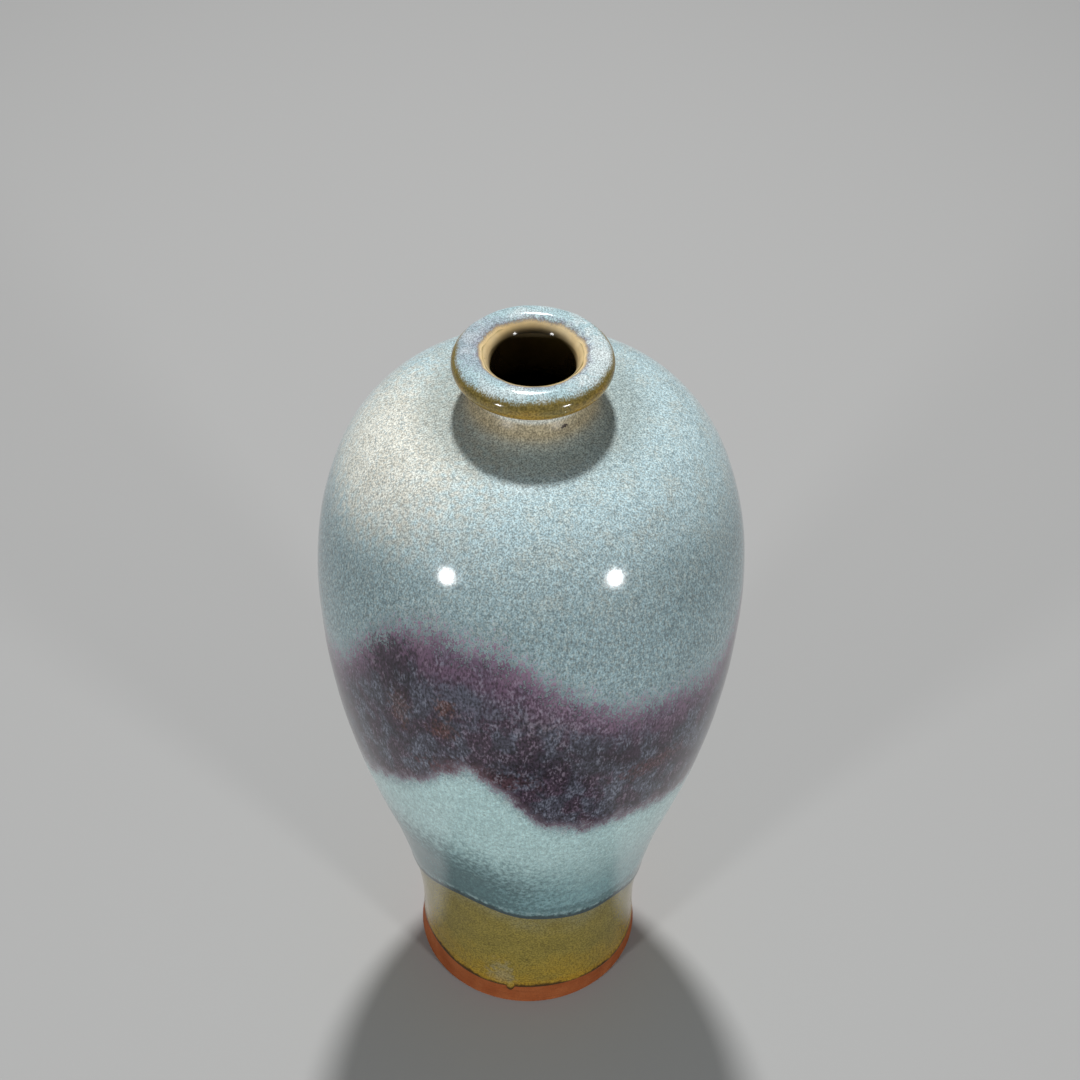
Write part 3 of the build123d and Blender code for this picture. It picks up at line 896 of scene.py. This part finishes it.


def ground_colour(bench, place, mottle, dashes):
    """Milky blue with fine grains, a cream patch on the shoulder and clearer turquoise below."""
    height = bench.axes(place)["Z"]
    rim = bench.mark("rim")
    below = bench.ramp(bench.mark("splash_down"), 4.0, -8.0)
    tone = bench.blend(bench.ramp(height, *SKY_SPAN), SKY, GREY_TEAL)
    tone = bench.blend(below, tone, TURQUOISE)
    low = bench.ramp(bench.scaled(mottle["Cloud"], 6.0, rim), 72.0, 16.0)
    tone = bench.blend(low, tone, LOW_TURQUOISE)
    cream = soft_patch(bench, place, *CREAM_PATCH, 0.55, mottle["Sandy"])
    tone = bench.lay(tone, CREAM, cream, 0.85)
    calm = bench.scaled(below, -0.55, 1.0)
    cloud = bench.times(bench.ramp(mottle["Cloud"], 0.4, 0.95), bench.ramp(height, *CLOUD_SPAN))
    warm = bench.scaled(bench.ramp(mottle["Tint"], 0.5, 1.0), 0.22, bench.times(cloud, 0.22))
    tone = bench.blend(bench.times(warm, calm), tone, WARM_GRAIN)
    cool = bench.times(bench.ramp(mottle["Tint"], 0.5, 0.0), bench.times(calm, 0.4))
    tone = bench.blend(cool, tone, COOL_GRAIN)
    # painted shade: a grey ring round the neck's root stands in part for the lip's cast shadow
    root = bench.ramp(height, *ROOT_SHADE_SPAN)
    tone = bench.lay(tone, NECK_SHADE_GREY, root, 0.6)
    # painted light: the cream strip under the lip brightens the lit upper neck
    pale = bench.ramp(height, *LIT_STRIP_SPAN)
    tone = bench.lay(tone, CREAM, pale, 0.6)
    neck = bench.times(bench.ramp(height, *NECK_SPAN), bench.ramp(height, *NECK_END))
    tone = bench.lay(tone, BEIGE, neck, 0.8)
    pool = soft_patch(bench, place, *POOL_PATCH, 0.35, mottle["Sandy"])
    thin = bench.ramp(bench.scaled(mottle["Sandy"], 4.0, rim), 18.0, 4.0)
    dim = bench.sum("MAXIMUM", bench.times(pool, 0.75), bench.times(thin, 0.62))
    tone = bench.blend(dim, tone, TEAL)
    tone = bench.shade(tone, mottle["Sandy"], 0.22)
    steep = bench.ramp(height, *STEEP_SPAN)
    tone = bench.shade(tone, dashes, bench.times(calm, bench.times(steep, 0.6)))
    fine = bench.scaled(steep, -0.2, 0.85)
    return bench.shade(tone, mottle["Fine"], bench.times(calm, fine)), neck


print("ground colours set")

# %% Colours of the copper splash
ORCHID = (0.235, 0.165, 0.225)
PURPLE = (0.135, 0.080, 0.130)
MAUVE = (0.165, 0.140, 0.172)
LILAC = (0.270, 0.215, 0.270)
INK = (0.020, 0.016, 0.025)
PLUM = (0.058, 0.036, 0.058)
SLATE = (0.082, 0.086, 0.118)
MAROON = (0.075, 0.028, 0.034)
RUSSET = (0.085, 0.030, 0.020)
LILAC_FLECK = (0.230, 0.195, 0.235)
BLUE_FLECK = (0.185, 0.220, 0.255)
SPLASH_RADIUS = 73            # millimetres, the wall where the splash lies
SPLASH_PATCHES = (            # degrees from the front, millimetres up, reach, shade, share
    (18, 211, (0.034, 0.03, 0.013), MAUVE, 0.9),
    (-16, 212, (0.022, 0.03, 0.012), SLATE, 0.7),
    (-36, 198, (0.004, 0.02, 0.012), RUSSET, 0.6),
    (-22, 206, (0.004, 0.02, 0.005), RUSSET, 0.8),
    (-23, 195, (0.005, 0.02, 0.005), RUSSET, 0.7),
    (-14, 174, (0.022, 0.02, 0.007), MAROON, 0.8),
    (35, 168, (0.012, 0.02, 0.005), MAROON, 0.8),
    (10, 183, (0.040, 0.03, 0.012), INK, 0.55),
)
LAST_PATCH = (-38, 216, (0.011, 0.02, 0.015), INK, 0.75)


def splash_share(bench, mottle, dashes, wide):
    """How far the copper holds at a point, and its ragged depth from the upper and the lower edge."""
    grain = bench.sway(mottle["Fine"], 9.0, bench.mark("splash_up"))
    upper = bench.sway(wide, 4.0, grain)
    upper = bench.sway(dashes, 13.0, upper)
    lower = bench.sway(wide, 4.5, bench.mark("splash_down"))
    lower = bench.sway(dashes, 4.5, lower)
    held = bench.times(bench.ramp(upper, -1.5, 5.5), bench.ramp(lower, -2.6, 4.2))
    return held, lower


def stained(bench, place, mottle, tone, turn, height, reach, shade, most):
    """A tone with one ragged patch of another shade, on the belly's wall."""
    centre = front_point(turn, SPLASH_RADIUS, height)
    patch = soft_patch(bench, place, centre, reach, 0.9, mottle["Sandy"])
    return bench.blend(bench.times(patch, most), tone, shade)


def splash_colour(bench, place, mottle, dashes, lower):
    """Purple at the feathered top, ink, plum and slate inside, maroon and lilac along the lower rim."""
    streaks = place_effect(bench, "glaze runs", Place=place, Width=3.0 * MM, Length=5 * MM)["Runs"]
    tone = bench.blend(bench.ramp(mottle["Cloud"], 0.25, 0.75), PLUM, SLATE)
    tone = bench.lay(tone, INK, bench.ramp(streaks, 0.6, 0.2), 0.55)
    for patch in SPLASH_PATCHES:
        tone = stained(bench, place, mottle, tone, *patch)
    depth = bench.sway(mottle["Cloud"], 9.0, bench.mark("splash_up"))
    depth = bench.sway(dashes, 7.0, depth)
    tone = bench.lay(tone, PURPLE, bench.ramp(depth, 25.0, 8.0), 0.85)
    tone = bench.lay(tone, ORCHID, bench.ramp(depth, 12.0, -2.0), 0.85)
    tone = stained(bench, place, mottle, tone, *LAST_PATCH)
    rim = bench.times(bench.ramp(lower, 12.0, 2.0), 0.4)
    tone = bench.blend(rim, tone, MAROON)
    fleck = bench.blend(mottle["Cloud"], LILAC_FLECK, BLUE_FLECK)
    streaked = bench.ramp(dashes, 0.5, 1.0)
    flecks = bench.times(streaked, bench.times(bench.ramp(streaks, 0.3, 0.9), 0.34))
    tone = bench.shade(bench.blend(flecks, tone, fleck), dashes, 1.3)
    return bench.lay(tone, LILAC, bench.ramp(lower, 7.0, 0.0), 0.7)


print("splash colours set")

# %% The shared finish of both skins
# the dark along the bead's edge is partly the thin blue over the olive and partly painted shadow under
# the rolled edge
BEAD_SHADOW = (0.042, 0.058, 0.063)
BEAD_LIGHT = (0.42, 0.55, 0.56)
BEAD_SHADOW_SPAN = (4.6, 2.6)   # millimetres in from the edge: the dark roll of the bead,
BEAD_PALE_SPANS = ((3.8, 5.2), (7.8, 5.6))      # a pale crest behind it
BEAD_BAND_SPANS = ((6.2, 8.7), (12.5, 8.7))     # and a teal band behind that
SCAR_PATCH = (front_point(31.2, 19.5, 282.4), (0.0014, 0.0014, 0.0007))


def dip_finish(name):
    """Finish of the milky glaze with its copper splash, from marks on the skin."""
    material, bench, shader = finish_tree(name)
    place = bench.place()
    drawn_out = bench.stretch(place, (1, 1, 0.75))
    mottle = place_effect(bench, "glaze mottle", Place=drawn_out, Grain=0.5 * MM)
    dashes = place_effect(bench, "glaze runs", Place=place, Width=0.7 * MM, Length=1.5 * MM)["Runs"]
    wide = place_effect(bench, "glaze runs", Place=place, Width=4.5 * MM, Length=7 * MM)["Runs"]
    tone, neck = ground_colour(bench, place, mottle, dashes)
    rim = bench.sway(mottle["Sandy"], 1.5, bench.mark("rim"))
    band = bench.times(*(bench.ramp(rim, *span) for span in BEAD_BAND_SPANS))
    tone = bench.lay(tone, TEAL, band, 0.4)
    pale = bench.times(*(bench.ramp(rim, *span) for span in BEAD_PALE_SPANS))
    pale = bench.times(pale, bench.times(bench.ramp(mottle["Sandy"], 0.3, 1.0), 0.5))
    tone = bench.blend(pale, tone, BEAD_LIGHT)
    # painted shadow: the dark line under the bead, partly the glaze's own thin edge
    tone = bench.blend(bench.times(bench.ramp(rim, *BEAD_SHADOW_SPAN), 0.85), tone, BEAD_SHADOW)
    held, lower = splash_share(bench, mottle, dashes, wide)
    tone = bench.blend(held, tone, splash_colour(bench, place, mottle, dashes, lower))
    tone = specked(bench, place, tone, 5.0, 0.10, 0.35)
    scar = soft_patch(bench, place, *SCAR_PATCH, 0.6, mottle["Fine"])
    tone = bench.blend(scar, tone, IRON)
    rough = bench.scaled(mottle["Sandy"], 0.05, bench.scaled(neck, 0.25, 0.10))
    glossy(bench, shader, tone, rough, mottle["Fine"], 0.010 * MM)
    return material


blue_material = dip_finish("blue_glaze")
splash_material = dip_finish("copper_splash")
print("finishes:", blue_material.name, splash_material.name)

# %% [markdown]
# ## The two skins
# The blue skin starts in a bead at its wavy edge and thins out under the lip. The wheel left a slow
# swell in the wall, cut inward so that the vase keeps its measured width. Where the copper lies, the
# blue is sunk a little and the splash fills the seat, its edges diving under so that no step shows.

# %% Blue skin
BLUE_COAT = 0.6 * MM
BEAD_WIDTH = 1.0 * MM
BEAD_BULGE = 0.12 * MM
BEAD_BULGE_AT = 1.3 * MM
SEAT_DEPTH = 0.12 * MM
SEAT_SLOPE = 3 * MM
SWELL = 0.10 * MM
SWELL_PITCH = 26 * MM
SLOW_PITCH = 61 * MM
BEAD_STEPS = np.array([0, 0.06, 0.16, 0.3, 0.5, 0.75, 1.05, 1.4, 1.8, 2.3, 2.9, 3.6, 4.4, 5.4]) * MM
BLUE_ROWS = 146
BLUE_BACK_ROWS = 32
LIP_FADE = 1.6 * MM           # the coat thins out over this length under the lip,
LIP_LEFT = 0.1                # to this share
LEAST_LIFT = 0.03 * MM
BLUE_BACK_LIFT = 0.005 * MM


def swell(along):
    """Inward swell left by the potter's fingers, in slow rings that wander a little."""
    rings = np.sin(2 * math.pi * along / SWELL_PITCH + 0.9 * np.sin(turn_angles + 0.4))
    slow = np.sin(2 * math.pi * along / SLOW_PITCH + 1.3 + 0.7 * np.sin(2 * turn_angles))
    return SWELL * (0.5 + 0.3 * rings + 0.2 * slow)


def splash_inset(along):
    """How far inside the splash's edges a point lies, along the wall; negative outside."""
    return np.minimum(splash_top - along, along - splash_end)


def splash_marks(along):
    """Marks of both skins, in millimetres from each edge."""
    marks = {"rim": (along - blue_edge) / MM, "splash_up": (splash_top - along) / MM}
    marks["splash_down"] = (along - splash_end) / MM
    return marks


blue_top = lip_root_along
blue_start = blue_edge + BEAD_STEPS[:, None]
blue_along = np.vstack([blue_start, rows_between(blue_start[-1], blue_top, BLUE_ROWS)[1:]])
blue_back = rows_between(blue_edge, blue_top, BLUE_BACK_ROWS, CROWD)[::-1]
past_rim = blue_along - blue_edge
roll = rolled(past_rim, BEAD_WIDTH)
fade = ease(0, LIP_FADE, blue_top - blue_along)
coat = (BLUE_COAT + bulged(past_rim, BEAD_BULGE, BEAD_BULGE_AT)) * roll
lift = coat * (LIP_LEFT + (1 - LIP_LEFT) * fade) - swell(blue_along) * fade * roll
lift = lift - SEAT_DEPTH * ease(0, SEAT_SLOPE, splash_inset(blue_along))
lift = np.maximum(lift, LEAST_LIFT)
blue_piece = skin("blue_dip", blue_along, lift, blue_back, BLUE_BACK_LIFT, splash_marks)
stand_for(blue_piece, blue_material, "blue_glaze")

# %% Splash skin
SPLASH_ROWS = 90
SPLASH_BACK_ROWS = 6
SPLASH_SHELL = 0.2 * MM
DIVE_SHARE = 1.3              # of the seat's depth
DIVE_SLOPE = 2 * MM

splash_along = rows_between(splash_end, splash_top, SPLASH_ROWS)
splash_back = rows_between(splash_end, splash_top, SPLASH_BACK_ROWS)[::-1]
dive = SEAT_DEPTH * DIVE_SHARE * (1 - ease(0, DIVE_SLOPE, splash_inset(splash_along)))
lift = BLUE_COAT - swell(splash_along) - dive
back_lift = BLUE_COAT - SWELL - SEAT_DEPTH - SPLASH_SHELL
splash_piece = skin("copper_bloom", splash_along, lift, splash_back, back_lift, splash_marks)
stand_for(splash_piece, splash_material, "copper_splash")

# %% [markdown]
# ## The lip
# On the rolled lip the blue ran off both ways and left one mottled ring on the crest, lavender and
# sky blue. Its edges thin out to nothing and let the olive and the amber through, so the ring is a
# skin whose thickness and colour both fade at its two wandering edges.

# %% Lip finish
LIP_SKY = (0.43, 0.58, 0.61)
LIP_WHITE = (0.72, 0.77, 0.76)
MAUVE_GRAIN = (0.27, 0.26, 0.34)
FRINGE = (0.22, 0.16, 0.14)
LIP_PATCHES = ((80, LIP_WHITE, 0.6), (-100, MAUVE_GRAIN, 0.4))  # degrees from the front, shade, share
LIP_PATCH_REACH = (0.017, 0.017, 0.01)


def lip_finish():
    material, bench, shader = finish_tree("lip_glaze")
    place = bench.place()
    mottle = place_effect(bench, "glaze mottle", Place=place, Grain=0.5 * MM)
    hairs = place_effect(bench, "glaze runs", Place=place, Width=1.3 * MM, Length=2.4 * MM)["Runs"]
    fray = bench.scaled(hairs, 0.5, bench.sum("SUBTRACT", mottle["Fine"], 0.75))
    outer = bench.scaled(fray, 1.0, bench.mark("lip_out"))
    inner = bench.scaled(fray, 0.45, bench.mark("lip_in"))
    tone = bench.lay(LIP_SKY, LIP_WHITE, bench.ramp(mottle["Cloud"], 0.4, 1.0), 0.5)
    for turn, shade, most in LIP_PATCHES:
        centre = front_point(turn, 20, 299)
        patch = soft_patch(bench, place, centre, LIP_PATCH_REACH, 0.8, mottle["Sandy"])
        tone = bench.blend(bench.times(patch, most), tone, shade)
    near_mouth = bench.times(bench.ramp(inner, 5.0, 1.2), bench.ramp(mottle["Sandy"], 0.2, 0.8))
    tone = bench.lay(tone, MAUVE_GRAIN, near_mouth, 0.65)
    tone = bench.shade(tone, mottle["Fine"], 0.8)
    tone = bench.lay(tone, FRINGE, bench.ramp(inner, 2.6, 1.0), 0.8)
    tone = bench.blend(bench.ramp(outer, 2.4, 0.0), tone, edge_colour(bench, place, mottle))
    tone = bench.blend(bench.ramp(inner, 1.9, 0.4), tone, mouth_colour(bench, place))
    tone = specked(bench, place, tone, 3.6, 0.12, 0.6)
    rough = bench.scaled(mottle["Sandy"], 0.05, 0.08)
    glossy(bench, shader, tone, rough, mottle["Fine"], 0.010 * MM)
    return material


lip_material = lip_finish()
print("finish:", lip_material.name)

# %% Lip skin
LIP_ROWS = 60
LIP_BACK_ROWS = 12
LIP_COAT = 0.56 * MM
LIP_EDGE_FADE = 3.6 * MM
RING_OUTER_RADIUS = 25.4 * MM
RING_INNER_RADIUS = 15.9 * MM
FRONT_SHORT = 1.9 * MM        # at the front the ring stops this much sooner and leaves an amber line
OUTER_WAVES = ((0.35, 3, 0.8), (0.25, 7, 0), (0.15, 16, 2))
INNER_WAVES = ((0.30, 2, 2.1), (0.2, 9, 1), (0.12, 19, 0))
LIP_LIFT = 0.01 * MM
LIP_SINK = 0.05 * MM

rising = slice(int(np.searchsorted(wall_along, lip_root_along)), crest_index)
widest = rising.start + int(np.argmax(wall[rising, 0]))
falling = slice(widest, crest_index)
outer_along = np.interp(-RING_OUTER_RADIUS, -wall[falling, 0], wall_along[falling])
inner_along = np.interp(-RING_INNER_RADIUS, -wall[crest_index:, 0], wall_along[crest_index:])
front_share = (0.5 + 0.5 * np.cos(turn_angles)) ** 3
ring_start = outer_along + waves(*OUTER_WAVES)
ring_end = inner_along + waves(*INNER_WAVES) - FRONT_SHORT * front_share
lip_along = rows_between(ring_start, ring_end, LIP_ROWS)
lip_inset = np.minimum(lip_along - ring_start, ring_end - lip_along)
lip_lift = LIP_COAT * ease(0, LIP_EDGE_FADE, lip_inset) + LIP_LIFT
lip_back = rows_between(ring_start, ring_end, LIP_BACK_ROWS)[::-1]


def lip_marks(along):
    """Distance from the ring's outer and inner edge, in millimetres."""
    return {"lip_out": (along - ring_start) / MM, "lip_in": (ring_end - along) / MM}


lip_piece = skin("lip_ring", lip_along, lip_lift, lip_back, -LIP_SINK, lip_marks)
stand_for(lip_piece, lip_material, "lip_glaze")
